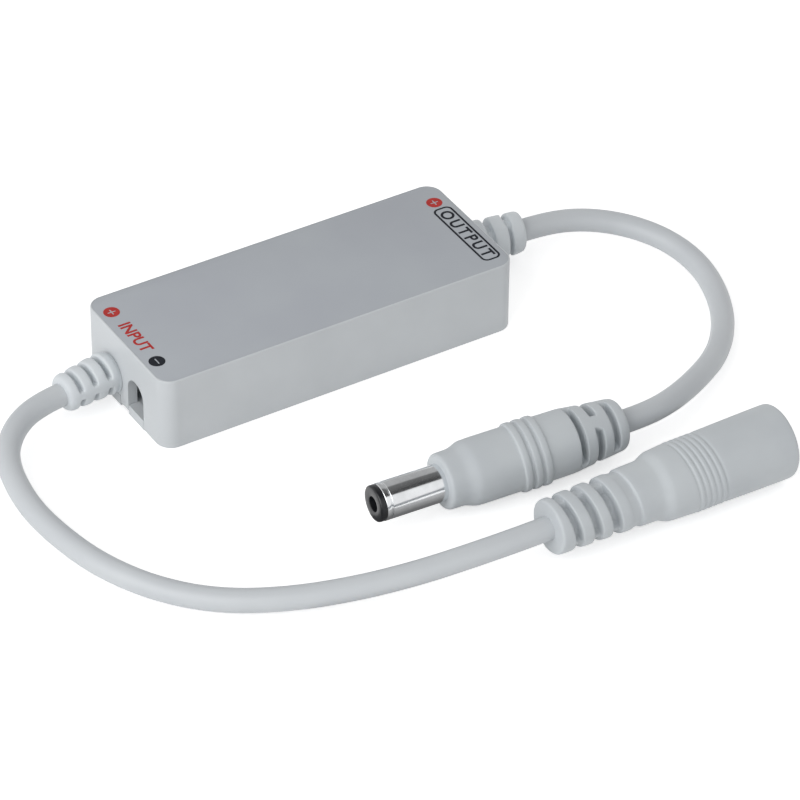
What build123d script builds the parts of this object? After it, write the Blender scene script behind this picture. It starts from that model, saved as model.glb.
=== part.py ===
from build123d import *
import os
from math import cos, radians, sin, tan

# Inline dimmer for low-voltage lights: a snap-together box with a lead at each end.
# The input lead ends in a barrel jack and the output lead in a barrel plug, both lying in front of the box.
# Millimetres. Origin on the floor under the middle of the box, +X towards the output end, +Z up.

# Box
case_length = 59.0
case_width = 23.4
case_height = 11.9
corner_radius = 2.5
top_edge = 0.25
wall = 1.5
roof = 1.5
base_thickness = 1.4
label_thickness = 0.25
label_inset = 0.35
label_gap = 0.1

# Cable outlets in the end walls
port_spacing = 6.8
port_height = 4.5
port_radius = 2.3
sill_height = 1.65
post_lift = 0.3
keeper_thickness = 1.0
keeper_height = 2.8

# Snap tabs between base cover and housing
tab_spacing = 30.0
tab_width = 4.0
tab_thickness = 1.0
tab_height = 6.0
barb_height = 1.5
barb_reach = 0.5

# Fits
cover_gap = 0.1
fit_gap = 0.05
press_gap = 0.02

# Circuit board and what holds it
board_length = 42.0
board_width = 17.0
board_thickness = 1.2
board_lift = 3.0
cradle_spacing = 20.0
cradle_thickness = 1.2
cradle_lip = 1.0
stop_thickness = 1.2
stop_width = 3.0
post_size = 2.0
post_inset = 1.8

# Radio module
module_length = 15.0
module_width = 12.0
module_thickness = 0.8
module_offset = 1.5
can_size = 10.0
can_height = 1.9
can_sheet = 0.2
can_shift = 1.5

# Power and supply parts
part_gap = 1.2
transistor_length = 3.9
transistor_width = 4.9
transistor_height = 1.6
transistor_lead_length = 1.05
transistor_lead_width = 0.42
transistor_lead_height = 0.25
transistor_lead_pitch = 1.27
transistor_leads = 4
transistor_y = 3.4
capacitor_base = 4.3
capacitor_base_height = 0.9
capacitor_corner = 0.9
capacitor_radius = 2.0
capacitor_height = 3.9
capacitor_y = -4.6
inductor_size = 5.0
inductor_flange = 0.8
inductor_core_radius = 1.9
inductor_height = 2.8
inductor_y = -5.0
diode_length = 4.3
diode_width = 2.6
diode_height = 2.2
diode_taper = 0.35
diode_tab_length = 0.5
diode_tab_width = 1.5
diode_tab_height = 0.3
diode_y = 5.4
regulator_length = 1.7
regulator_width = 3.0
regulator_height = 1.1
regulator_lead_length = 0.6
regulator_lead_width = 0.4
regulator_lead_height = 0.2
regulator_lead_pitch = 0.95
regulator_y = 1.0
chip_capacitor_length = 2.0
chip_capacitor_width = 1.25
chip_capacitor_height = 0.9
chip_resistor_length = 1.6
chip_resistor_width = 0.8
chip_resistor_height = 0.45
chip_pitch = 4.0
chip_y = -6.6

# Leads
cable_diameter = 3.5
cable_sides = 8
core_diameter = 1.1
core_spacing = 1.6
core_overlap = 2.5
lead_out = 4.6

# Strain reliefs: a slotted tail outside the wall, a neck through the outlet and a flange inside
flange_margin = 0.5
flange_thickness = 1.2
relief_core = 2.05
core_sides = 8
relief_edge = 0.6
input_tail_length = 8.8
input_tail_root = 3.13
input_tail_end = 2.8
input_rib_step = 0.11
input_slot_first = 1.85
input_slot_pitch = 2.45
input_slot_width = 0.85
input_web = 1.6
input_web_tilt = 8.0
input_swing = 7.0
output_tail_length = 10.3
output_tail_root = 3.75
output_tail_end = 3.13
output_rib_step = 0.24
output_slot_first = 1.25
output_slot_pitch = 3.5
output_slot_width = 1.0
output_web = 1.8
output_swing = 2.0
slot_rows = 3

# Jack, measured from its cable end
jack_start = Vector(4.8, -59.6, 5.6)
jack_angle = 0.0
jack_length = 38.3
jack_tail_end = 4.08
jack_rib_step = 0.09
jack_slot_first = 2.18
jack_slot_pitch = 3.1
jack_slot_width = 1.2
jack_core = 2.5
jack_web = 5.0
jack_web_tilt = 57.0
jack_neck_radius = 4.45
jack_flare_start = 16.0
jack_flare_length = 2.0
jack_grip_radius = 5.45
jack_mouth_edge = 0.4
jack_lip_radius = 3.3
jack_lip_length = 1.3
insert_radius = 3.9
insert_length = 12.6
insert_bore = 3.0
insert_floor = 1.6
pin_radius = 1.0
pin_length = 9.0
pin_edge = 0.35
pin_stem_radius = 0.7
spring_width = 2.0
spring_thickness = 0.25
spring_bow = 0.75
spring_back = 2.5
spring_front = 1.5
spring_groove = 3.55

# Plug, measured from its tip
plug_tip = Vector(-13.2, -42.35, 5.15)
plug_angle = -3.0
plug_length = 39.3
tip_length = 1.15
tip_radius = 2.7
tip_edge = 0.2
tip_hole = 1.15
tip_hole_depth = 2.2
barrel_radius = 2.75
barrel_shank = 2.5
barrel_bore = 2.1
barrel_exposed = 9.6
barrel_buried = 6.0
contact_radius = 1.55
contact_bore = 0.95
contact_slit = 0.3
contact_slit_length = 4.0
nose_radius = 4.125
nose_length = 2.45
nose_edge = 0.7
shoulder_length = 2.0
plug_body_radius = 4.78
plug_tail_end = 3.9
plug_rib_step = 0.3
plug_tail_edge = 0.6
plug_ring_centre = 13.65
plug_ring_pitch = 1.6
plug_ring_width = 1.2
plug_ring_height = 0.35
plug_rings = 3
plug_slot_first = 31.4
plug_slot_pitch = 2.8
plug_slot_width = 1.2
plug_core = 2.4
plug_wide_web = 4.9
plug_wide_tilt = 46.0
plug_narrow_web = 1.8
plug_narrow_tilt = 122.0


# Direction in plan, from an angle turned from +X
def heading(angle):
    return Vector(cos(radians(angle)), sin(radians(angle)), 0)


# Sketch plane through a round piece's axis: x runs along the axis and y straight up
def side_plane(start, angle):
    return Plane(origin=start, x_dir=heading(angle), z_dir=heading(angle - 90))


# Sketch plane across a round piece's axis, at a distance along it, with y straight up
def cross_plane(start, angle, along):
    return Plane(origin=start + heading(angle) * along, x_dir=heading(angle + 90), z_dir=heading(angle))


# Outline of a cable outlet about its axis: half round above, straight sides down to a level
def outlet(radius, low):
    Circle(radius)
    Rectangle(2 * radius, port_height - low, align=(Align.CENTER, Align.MAX))


# One row of slots round a flexible tail: open down to the core, but for a web on two opposite sides
def slot_row(section, outer, core, web, tilt):
    with BuildSketch(section) as row:
        Circle(outer + core)
        RegularPolygon(core, core_sides, rotation=tilt, mode=Mode.SUBTRACT)
        Rectangle(2 * (outer + core), web, rotation=tilt, mode=Mode.SUBTRACT)
    return row.sketch


# Largest radius that leaves a straight stretch between one bend of a lead and the next
def bend_radii(route):
    points = [Vector(point) for point in route]
    radii = []
    for before, here, after in zip(points, points[1:], points[2:]):
        run_in = here - before
        run_out = after - here
        half_turn = radians(run_in.get_angle(run_out)) / 2
        radii.append(0.45 * min(run_in.length, run_out.length) / tan(half_turn))
    return radii


# Levels and places that several pieces share
case_end = case_length / 2
cavity_length = case_length - 2 * wall
cavity_width = case_width - 2 * wall
ceiling = case_height - roof
label_floor = case_height - label_thickness
port_y = port_spacing / 2
board_top = board_lift + board_thickness
barb_level = tab_height - barb_height
tab_face = cavity_width / 2 - cover_gap
flange_foot = sill_height + fit_gap
flange_width = 2 * (port_radius + flange_margin)
flange_height = port_height + port_radius + flange_margin - flange_foot
keeper_x = case_end - wall - flange_thickness - fit_gap - keeper_thickness / 2
supply_x = -(module_length / 2 + part_gap + inductor_size / 2)
output_x = module_length / 2 + part_gap + transistor_lead_length + transistor_length / 2

input_angle = 180 + input_swing
input_pivot = Vector(-case_end - input_slot_first, port_y, port_height)
input_tail = input_tail_length - input_slot_first
input_exit = input_pivot + heading(input_angle) * input_tail
output_angle = -output_swing
output_pivot = Vector(case_end + output_slot_first, port_y, port_height)
output_tail = output_tail_length - output_slot_first
output_exit = output_pivot + heading(output_angle) * output_tail

jack_axis = Axis(jack_start, heading(jack_angle))
jack_neck_start = jack_slot_first + (slot_rows - 1) * jack_slot_pitch
jack_grip_start = jack_flare_start + jack_flare_length
lip_back = jack_length - jack_lip_length
socket_floor = lip_back - fit_gap - insert_length
bore_floor = socket_floor + insert_floor
insert_front = socket_floor + insert_length

plug_axis = Axis(plug_tip, heading(plug_angle))
plug_end = plug_tip + heading(plug_angle) * plug_length
nose_start = tip_length + barrel_exposed
barrel_end = nose_start + barrel_buried
shoulder_end = nose_start + nose_length + shoulder_length


# Moulded shell, open below
with BuildPart() as upper_housing:
    with BuildSketch():
        RectangleRounded(case_length, case_width, corner_radius)
    extrude(amount=case_height)
    chamfer(upper_housing.faces().sort_by(Axis.Z)[-1].edges(), top_edge)
    with BuildSketch():
        RectangleRounded(cavity_length, cavity_width, corner_radius - wall)
    extrude(amount=ceiling, mode=Mode.SUBTRACT)
    with BuildSketch(Plane.XY.offset(label_floor)):
        RectangleRounded(case_length - 2 * label_inset, case_width - 2 * label_inset, corner_radius - label_inset)
    extrude(amount=label_thickness, mode=Mode.SUBTRACT)
    # Two outlets in the input end, and the post between them stops short of the floor
    with BuildSketch(Plane.YZ.offset(-case_end)):
        with Locations((-port_y, port_height), (port_y, port_height)):
            outlet(port_radius, 0)
        Rectangle(port_spacing, post_lift, align=(Align.CENTER, Align.MIN))
    extrude(amount=wall, mode=Mode.SUBTRACT)
    # One outlet in the output end
    with BuildSketch(Plane.YZ.offset(case_end)):
        with Locations((port_y, port_height)):
            outlet(port_radius, 0)
    extrude(amount=-wall, mode=Mode.SUBTRACT)
    # Pockets for the snap tabs
    with BuildSketch(Plane.XY.offset(barb_level - cover_gap)):
        with GridLocations(tab_spacing, cavity_width, 2, 2):
            Rectangle(tab_width + 2 * cover_gap, 2 * barb_reach)
    extrude(amount=barb_height + 2 * cover_gap, mode=Mode.SUBTRACT)
    # Posts that hold the board down
    with BuildSketch(Plane.XY.offset(board_top + fit_gap)):
        with GridLocations(board_length - 2 * post_inset, board_width - 2 * post_inset, 2, 2):
            Rectangle(post_size, post_size)
    extrude(amount=ceiling - board_top - fit_gap)

# Plate that closes the shell from below
with BuildPart() as base_cover:
    with BuildSketch():
        RectangleRounded(
            cavity_length - 2 * cover_gap, cavity_width - 2 * cover_gap, corner_radius - wall - cover_gap
        )
    extrude(amount=base_thickness)
    # Tongues that fill the foot of each outlet up to its sill
    with BuildSketch(Plane.YZ.offset(-case_end)):
        with Locations((-port_y, 0), (port_y, 0)):
            Rectangle(2 * (port_radius - cover_gap), sill_height, align=(Align.CENTER, Align.MIN))
    extrude(amount=wall + 2 * cover_gap)
    with BuildSketch(Plane.YZ.offset(case_end)):
        with Locations((port_y, 0)):
            Rectangle(2 * (port_radius - cover_gap), sill_height, align=(Align.CENTER, Align.MIN))
    extrude(amount=-wall - 2 * cover_gap)
    # Keepers behind the flanges of the strain reliefs
    with BuildSketch(Plane.XY.offset(base_thickness)):
        with Locations((-keeper_x, -port_y), (-keeper_x, port_y), (keeper_x, port_y)):
            Rectangle(keeper_thickness, 2 * port_radius)
    extrude(amount=keeper_height - base_thickness)
    # Cradles under the board, with a lip at each side of it
    with BuildSketch(Plane.YZ.offset(-cradle_spacing / 2), Plane.YZ.offset(cradle_spacing / 2)):
        with Locations((0, base_thickness)):
            Rectangle(
                board_width + 2 * (fit_gap + cradle_lip),
                board_top - base_thickness,
                align=(Align.CENTER, Align.MIN),
            )
        with Locations((0, board_lift)):
            Rectangle(
                board_width + 2 * fit_gap, board_thickness, align=(Align.CENTER, Align.MIN), mode=Mode.SUBTRACT
            )
    extrude(amount=cradle_thickness / 2, both=True)
    # Stops at the ends of the board
    with BuildSketch(Plane.XY.offset(base_thickness)):
        with GridLocations(board_length + 2 * fit_gap + stop_thickness, 1, 2, 1):
            Rectangle(stop_thickness, stop_width)
    extrude(amount=board_top - base_thickness)
    # Barbed tabs along the long sides
    with BuildSketch(Plane.YZ.offset(-tab_spacing / 2), Plane.YZ.offset(tab_spacing / 2)):
        with BuildLine():
            Polyline(
                (tab_face - tab_thickness, base_thickness),
                (tab_face, base_thickness),
                (tab_face, barb_level),
                (tab_face + barb_reach, barb_level),
                (tab_face, tab_height),
                (tab_face - tab_thickness, tab_height),
                close=True,
            )
        make_face()
        mirror(about=Plane.YZ)
    extrude(amount=tab_width / 2, both=True)

# Film over the top
with BuildPart() as top_label:
    with BuildSketch(Plane.XY.offset(label_floor)):
        RectangleRounded(
            case_length - 2 * (label_inset + label_gap),
            case_width - 2 * (label_inset + label_gap),
            corner_radius - label_inset - label_gap,
        )
    extrude(amount=label_thickness)

# Boot of the input lead: every row of slots opens above and below
with BuildPart() as input_strain_relief:
    with BuildSketch(Plane.YZ.offset(-case_end)):
        with Locations((port_y, port_height)):
            outlet(port_radius - fit_gap, flange_foot)
    extrude(amount=wall)
    with BuildSketch(Plane.YZ.offset(wall - case_end)):
        with Locations((port_y, flange_foot)):
            Rectangle(flange_width, flange_height, align=(Align.CENTER, Align.MIN))
    extrude(amount=flange_thickness)
    with BuildSketch(Plane.YZ.offset(-case_end)):
        with Locations((port_y, port_height)):
            Circle(input_tail_root)
    extrude(amount=-input_slot_first)
    # Ribs that step down towards the cable
    input_tail_foot = cross_plane(input_pivot, input_angle, -input_slot_width / 2)
    with BuildSketch(input_tail_foot):
        Circle(input_tail_end)
    extrude(amount=input_tail + input_slot_width / 2)
    chamfer(input_strain_relief.faces().sort_by(Axis.X)[0].edges(), relief_edge)
    for rib in range(1, slot_rows):
        with BuildSketch(input_tail_foot):
            Circle(input_tail_end + rib * input_rib_step)
        extrude(amount=(slot_rows - rib) * input_slot_pitch)
    for row in range(slot_rows):
        section = cross_plane(input_pivot, input_angle, row * input_slot_pitch)
        slots = slot_row(section, input_tail_root, relief_core, input_web, input_web_tilt)
        extrude(slots, amount=input_slot_width / 2, both=True, mode=Mode.SUBTRACT)

# Boot of the output lead: rows of slots open by turns at the sides and above and below
with BuildPart() as output_strain_relief:
    with BuildSketch(Plane.YZ.offset(case_end)):
        with Locations((port_y, port_height)):
            outlet(port_radius - fit_gap, flange_foot)
    extrude(amount=-wall)
    with BuildSketch(Plane.YZ.offset(case_end - wall)):
        with Locations((port_y, flange_foot)):
            Rectangle(flange_width, flange_height, align=(Align.CENTER, Align.MIN))
    extrude(amount=-flange_thickness)
    with BuildSketch(Plane.YZ.offset(case_end)):
        with Locations((port_y, port_height)):
            Circle(output_tail_root)
    extrude(amount=output_slot_first)
    # Ribs that step down towards the cable
    output_tail_foot = cross_plane(output_pivot, output_angle, -output_slot_width / 2)
    with BuildSketch(output_tail_foot):
        Circle(output_tail_end)
    extrude(amount=output_tail + output_slot_width / 2)
    chamfer(output_strain_relief.faces().sort_by(Axis.X)[-1].edges(), relief_edge)
    for rib in range(1, slot_rows):
        with BuildSketch(output_tail_foot):
            Circle(output_tail_end + rib * output_rib_step)
        extrude(amount=(slot_rows - rib) * output_slot_pitch)
    for row in range(slot_rows):
        section = cross_plane(output_pivot, output_angle, row * output_slot_pitch)
        slots = slot_row(section, output_tail_root, relief_core, output_web, 90 * (1 + row))
        extrude(slots, amount=output_slot_width / 2, both=True, mode=Mode.SUBTRACT)

# Routes of the leads from box to connector, along the floor
input_route = [
    input_exit,
    input_exit + heading(input_angle) * lead_out,
    (-47.8, -0.6, 4.0),
    (-51.6, -5.5, 3.2),
    (-53.0, -14.3, 2.2),
    (-52.2, -22.5, 1.75),
    (-50.3, -31.2, 1.75),
    (-46.2, -39.5, 1.75),
    (-40.0, -46.2, 1.75),
    (-31.7, -51.2, 2.2),
    (-23.1, -54.8, 3.1),
    (-14.8, -57.3, 4.15),
    (-7.0, -58.7, 5.0),
    jack_start - heading(jack_angle) * lead_out,
    jack_start,
]
output_route = [
    output_exit,
    output_exit + heading(output_angle) * lead_out,
    (50.3, 1.1, 4.15),
    (55.5, -2.8, 3.5),
    (59.1, -8.6, 2.8),
    (60.1, -15.4, 2.1),
    (58.4, -22.4, 1.75),
    (54.9, -29.1, 1.95),
    (49.5, -35.3, 2.75),
    (43.1, -39.7, 3.75),
    (36.6, -43.0, 4.6),
    plug_end + heading(plug_angle) * lead_out,
    plug_end,
]

# A section of few sides keeps the long bends light
with BuildPart() as input_cable:
    with BuildLine() as input_path:
        FilletPolyline(*input_route, radius=bend_radii(input_route))
    with BuildSketch(Plane(origin=input_path.line @ 0, z_dir=input_path.line % 0)):
        RegularPolygon(cable_diameter / 2, cable_sides)
    sweep()

with BuildPart() as output_cable:
    with BuildLine() as output_path:
        FilletPolyline(*output_route, radius=bend_radii(output_route))
    with BuildSketch(Plane(origin=output_path.line @ 0, z_dir=output_path.line % 0)):
        RegularPolygon(cable_diameter / 2, cable_sides)
    sweep()

# Overmould of the jack: slotted tail, neck, flared grip and barrel, with an inner lip at the mouth
with BuildPart() as jack_body:
    with BuildSketch(side_plane(jack_start, jack_angle)) as jack_profile:
        with BuildLine():
            Polyline(
                (0, 0),
                (0, jack_tail_end),
                (jack_neck_start, jack_tail_end),
                (jack_neck_start, jack_neck_radius),
                (jack_flare_start, jack_neck_radius),
                (jack_grip_start, jack_grip_radius),
                (jack_length, jack_grip_radius),
                (jack_length, jack_lip_radius),
                (lip_back, jack_lip_radius),
                (lip_back, insert_radius + press_gap),
                (socket_floor, insert_radius + press_gap),
                (socket_floor, 0),
                close=True,
            )
        make_face()
        chamfer(jack_profile.vertices().group_by(Axis.X)[-1].sort_by(Axis.Y)[-1], jack_mouth_edge)
    revolve(axis=jack_axis)
    # Each rib of the tail stands a little higher than the one before
    for rib in range(1, slot_rows):
        rib_start = jack_slot_first + (rib - 1) * jack_slot_pitch
        with BuildSketch(cross_plane(jack_start, jack_angle, rib_start)):
            Circle(jack_tail_end + rib * jack_rib_step)
        extrude(amount=jack_neck_start - rib_start)
    for row in range(slot_rows):
        section = cross_plane(jack_start, jack_angle, jack_slot_first + row * jack_slot_pitch)
        slots = slot_row(section, jack_neck_radius, jack_core, jack_web, jack_web_tilt)
        extrude(slots, amount=jack_slot_width / 2, both=True, mode=Mode.SUBTRACT)

# Liner of the socket, with a groove above for the spring
with BuildPart() as jack_insert:
    with BuildSketch(cross_plane(jack_start, jack_angle, socket_floor)):
        Circle(insert_radius)
    extrude(amount=insert_length)
    with BuildSketch(cross_plane(jack_start, jack_angle, bore_floor)):
        Circle(insert_bore)
        Rectangle(spring_width + 2 * fit_gap, spring_groove, align=(Align.CENTER, Align.MIN))
    extrude(amount=insert_length - insert_floor, mode=Mode.SUBTRACT)
    with BuildSketch(cross_plane(jack_start, jack_angle, socket_floor)):
        Circle(pin_stem_radius + press_gap)
    extrude(amount=insert_floor, mode=Mode.SUBTRACT)

# Centre pin, its stem through the floor of the liner
with BuildPart() as jack_centre_pin:
    with BuildSketch(cross_plane(jack_start, jack_angle, socket_floor)):
        Circle(pin_stem_radius)
    extrude(amount=insert_floor)
    with BuildSketch(cross_plane(jack_start, jack_angle, bore_floor)):
        Circle(pin_radius)
    extrude(amount=pin_length)
    chamfer(jack_centre_pin.faces().sort_by(Axis.X)[-1].edges(), pin_edge)

# Spring leaf, bowed into the bore so that it bears on a plug's barrel
leaf_level = spring_groove - fit_gap - spring_thickness / 2
leaf_start = bore_floor + fit_gap
leaf_end = insert_front - spring_front
with BuildPart() as jack_spring_contact:
    with BuildSketch(side_plane(jack_start, jack_angle)):
        with BuildLine():
            Polyline(
                (leaf_start, leaf_level),
                (leaf_start + spring_back, leaf_level),
                ((leaf_start + spring_back + leaf_end) / 2, leaf_level - spring_bow),
                (leaf_end, leaf_level),
            )
        trace(line_width=spring_thickness)
    extrude(amount=spring_width / 2, both=True)

# Metal sleeve of the plug, with a narrower shank inside the overmould
with BuildPart() as plug_barrel:
    with BuildSketch(cross_plane(plug_tip, plug_angle, tip_length)):
        Circle(barrel_radius)
    extrude(amount=barrel_exposed)
    with BuildSketch(cross_plane(plug_tip, plug_angle, nose_start)):
        Circle(barrel_shank)
    extrude(amount=barrel_buried)
    with BuildSketch(cross_plane(plug_tip, plug_angle, tip_length)):
        Circle(barrel_bore)
    extrude(amount=barrel_end - tip_length, mode=Mode.SUBTRACT)

# Insulating tip, carried back as a liner inside the sleeve
with BuildPart() as plug_tip_insulator:
    with BuildSketch(side_plane(plug_tip, plug_angle)) as tip_profile:
        with BuildLine():
            Polyline(
                (0, tip_hole),
                (0, tip_radius),
                (tip_length, tip_radius),
                (tip_length, barrel_bore - press_gap),
                (barrel_end, barrel_bore - press_gap),
                (barrel_end, contact_radius + press_gap),
                (tip_hole_depth, contact_radius + press_gap),
                (tip_hole_depth, tip_hole),
                close=True,
            )
        make_face()
        chamfer(tip_profile.vertices().group_by(Axis.X)[0].sort_by(Axis.Y)[-1], tip_edge)
    revolve(axis=plug_axis)

# Slit sleeve that grips a mating centre pin
with BuildPart() as plug_centre_contact:
    with BuildSketch(cross_plane(plug_tip, plug_angle, tip_hole_depth)):
        Circle(contact_radius)
        Circle(contact_bore, mode=Mode.SUBTRACT)
    extrude(amount=barrel_end - tip_hole_depth)
    with BuildSketch(cross_plane(plug_tip, plug_angle, tip_hole_depth)):
        Rectangle(2 * contact_radius, contact_slit)
    extrude(amount=contact_slit_length, mode=Mode.SUBTRACT)

# Overmould of the plug: rounded nose, grip with three rings, slotted tail
with BuildPart() as plug_body:
    with BuildSketch(side_plane(plug_tip, plug_angle)) as plug_profile:
        with BuildLine():
            Polyline(
                (nose_start, barrel_shank + press_gap),
                (nose_start, nose_radius),
                (nose_start + nose_length, nose_radius),
                (shoulder_end, plug_body_radius),
                (plug_slot_first, plug_body_radius),
                (plug_slot_first, plug_tail_end),
                (plug_length, plug_tail_end),
                (plug_length, 0),
                (barrel_end, 0),
                (barrel_end, barrel_shank + press_gap),
                close=True,
            )
        make_face()
        chamfer(plug_profile.vertices().group_by(Axis.X)[0].sort_by(Axis.Y)[-1], nose_edge)
        chamfer(plug_profile.vertices().group_by(Axis.X)[-1].sort_by(Axis.Y)[-1], plug_tail_edge)
    revolve(axis=plug_axis)
    with BuildSketch(side_plane(plug_tip, plug_angle)):
        with Locations((nose_start + plug_ring_centre, plug_body_radius)):
            with GridLocations(plug_ring_pitch, 1, plug_rings, 1):
                Rectangle(plug_ring_width, 2 * plug_ring_height)
    revolve(axis=plug_axis)
    # Ribs that step down towards the cable
    for rib in range(1, slot_rows):
        with BuildSketch(cross_plane(plug_tip, plug_angle, plug_slot_first)):
            Circle(plug_tail_end + rib * plug_rib_step)
        extrude(amount=(slot_rows - rib) * plug_slot_pitch)
    for row in range(slot_rows):
        section = cross_plane(plug_tip, plug_angle, plug_slot_first + row * plug_slot_pitch)
        web, tilt = (plug_narrow_web, plug_narrow_tilt) if row == 1 else (plug_wide_web, plug_wide_tilt)
        slots = slot_row(section, plug_body_radius, plug_core, web, tilt)
        extrude(slots, amount=plug_slot_width / 2, both=True, mode=Mode.SUBTRACT)

# Main board on its cradles
with BuildPart() as circuit_board:
    with BuildSketch(Plane.XY.offset(board_lift)):
        Rectangle(board_length, board_width)
    extrude(amount=board_thickness)

# Radio module and its shield can
with BuildPart() as wifi_module_board:
    with BuildSketch(Plane.XY.offset(board_top)):
        with Locations((0, module_offset)):
            Rectangle(module_length, module_width)
    extrude(amount=module_thickness)

with BuildPart() as wifi_shield_can:
    with BuildSketch(Plane.XY.offset(board_top + module_thickness)):
        with Locations((can_shift, module_offset)):
            Rectangle(can_size, can_size)
    extrude(amount=can_height)
    offset(amount=-can_sheet, openings=wifi_shield_can.faces().sort_by(Axis.Z)[0])

# Switching transistor: moulded block with a row of leads on each side
with BuildPart() as power_transistor:
    with BuildSketch(Plane.XY.offset(board_top)):
        with Locations((output_x, transistor_y)):
            Rectangle(transistor_length, transistor_width)
    extrude(amount=transistor_height)
    with BuildSketch(Plane.XY.offset(board_top)):
        with Locations((output_x, transistor_y)):
            with GridLocations(transistor_length, transistor_lead_pitch, 2, transistor_leads):
                Rectangle(2 * transistor_lead_length, transistor_lead_width)
    extrude(amount=transistor_lead_height)

# Smoothing capacitor: can on a square foot with two cut corners
with BuildPart() as smoothing_capacitor:
    with BuildSketch(Plane.XY.offset(board_top)) as capacitor_foot:
        with Locations((output_x, capacitor_y)):
            Rectangle(capacitor_base, capacitor_base)
        chamfer(capacitor_foot.vertices().group_by(Axis.X)[-1], capacitor_corner)
    extrude(amount=capacitor_base_height)
    with BuildSketch(Plane.XY.offset(board_top + capacitor_base_height)):
        with Locations((output_x, capacitor_y)):
            Circle(capacitor_radius)
    extrude(amount=capacitor_height - capacitor_base_height)

# Supply inductor: square flanges on a round core
with BuildPart() as buck_inductor:
    with BuildSketch(Plane.XY.offset(board_top), Plane.XY.offset(board_top + inductor_height - inductor_flange)):
        with Locations((supply_x, inductor_y)):
            Rectangle(inductor_size, inductor_size)
    extrude(amount=inductor_flange)
    with BuildSketch(Plane.XY.offset(board_top + inductor_flange)):
        with Locations((supply_x, inductor_y)):
            Circle(inductor_core_radius)
    extrude(amount=inductor_height - 2 * inductor_flange)

# Supply diode: block with a sloped top and a tab at each end
with BuildPart() as schottky_diode:
    with BuildSketch(Plane.XY.offset(board_top)):
        with Locations((supply_x, diode_y)):
            Rectangle(diode_length, diode_width)
    extrude(amount=diode_height)
    chamfer(schottky_diode.faces().sort_by(Axis.Z)[-1].edges(), diode_taper)
    with BuildSketch(Plane.XY.offset(board_top)):
        with Locations((supply_x, diode_y)):
            Rectangle(diode_length + 2 * diode_tab_length, diode_tab_width)
    extrude(amount=diode_tab_height)

# Voltage regulator: block with two leads on one side and three on the other
with BuildPart() as voltage_regulator:
    with BuildSketch(Plane.XY.offset(board_top)):
        with Locations((supply_x, regulator_y)):
            Rectangle(regulator_length, regulator_width)
    extrude(amount=regulator_height)
    with BuildSketch(Plane.XY.offset(board_top)):
        with Locations((supply_x - regulator_length / 2, regulator_y)):
            with GridLocations(1, 2 * regulator_lead_pitch, 1, 2):
                Rectangle(2 * regulator_lead_length, regulator_lead_width)
        with Locations((supply_x + regulator_length / 2, regulator_y)):
            with GridLocations(1, regulator_lead_pitch, 1, 3):
                Rectangle(2 * regulator_lead_length, regulator_lead_width)
    extrude(amount=regulator_lead_height)

# Row of chip parts in front of the module
with BuildPart() as input_chip_capacitor:
    with BuildSketch(Plane.XY.offset(board_top)):
        with Locations((-1.5 * chip_pitch, chip_y)):
            Rectangle(chip_capacitor_length, chip_capacitor_width)
    extrude(amount=chip_capacitor_height)

with BuildPart() as radio_chip_capacitor:
    with BuildSketch(Plane.XY.offset(board_top)):
        with Locations((-0.5 * chip_pitch, chip_y)):
            Rectangle(chip_capacitor_length, chip_capacitor_width)
    extrude(amount=chip_capacitor_height)

with BuildPart() as pull_down_resistor:
    with BuildSketch(Plane.XY.offset(board_top)):
        with Locations((0.5 * chip_pitch, chip_y)):
            Rectangle(chip_resistor_length, chip_resistor_width)
    extrude(amount=chip_resistor_height)

with BuildPart() as gate_resistor:
    with BuildSketch(Plane.XY.offset(board_top)):
        with Locations((1.5 * chip_pitch, chip_y)):
            Rectangle(chip_resistor_length, chip_resistor_width)
    extrude(amount=chip_resistor_height)

# Insulated cores of the leads, from the flange of each boot on to the board
core_start = case_end - wall - flange_thickness
core_length = core_start - board_length / 2 + core_overlap
core_level = board_top + core_diameter / 2

with BuildPart() as input_positive_wire:
    with BuildSketch(Plane.YZ.offset(-core_start)):
        with Locations((port_y + core_spacing / 2, core_level)):
            RegularPolygon(core_diameter / 2, cable_sides)
    extrude(amount=core_length)

with BuildPart() as input_negative_wire:
    with BuildSketch(Plane.YZ.offset(-core_start)):
        with Locations((port_y - core_spacing / 2, core_level)):
            RegularPolygon(core_diameter / 2, cable_sides)
    extrude(amount=core_length)

with BuildPart() as output_positive_wire:
    with BuildSketch(Plane.YZ.offset(core_start)):
        with Locations((port_y + core_spacing / 2, core_level)):
            RegularPolygon(core_diameter / 2, cable_sides)
    extrude(amount=-core_length)

with BuildPart() as output_negative_wire:
    with BuildSketch(Plane.YZ.offset(core_start)):
        with Locations((port_y - core_spacing / 2, core_level)):
            RegularPolygon(core_diameter / 2, cable_sides)
    extrude(amount=-core_length)

print("input lead bends:", [round(radius, 1) for radius in bend_radii(input_route)])
print("output lead bends:", [round(radius, 1) for radius in bend_radii(output_route)])
print("lead lengths:", round(input_path.wire().length, 1), round(output_path.wire().length, 1))

upper_housing.part.label = "upper_housing"
export_step(upper_housing.part, "parts/upper_housing.step")
base_cover.part.label = "base_cover"
export_step(base_cover.part, "parts/base_cover.step")
top_label.part.label = "top_label"
export_step(top_label.part, "parts/top_label.step")
input_strain_relief.part.label = "input_strain_relief"
export_step(input_strain_relief.part, "parts/input_strain_relief.step")
output_strain_relief.part.label = "output_strain_relief"
export_step(output_strain_relief.part, "parts/output_strain_relief.step")
input_cable.part.label = "input_cable"
export_step(input_cable.part, "parts/input_cable.step")
output_cable.part.label = "output_cable"
export_step(output_cable.part, "parts/output_cable.step")
jack_body.part.label = "jack_body"
export_step(jack_body.part, "parts/jack_body.step")
jack_insert.part.label = "jack_insert"
export_step(jack_insert.part, "parts/jack_insert.step")
jack_centre_pin.part.label = "jack_centre_pin"
export_step(jack_centre_pin.part, "parts/jack_centre_pin.step")
jack_spring_contact.part.label = "jack_spring_contact"
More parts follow.
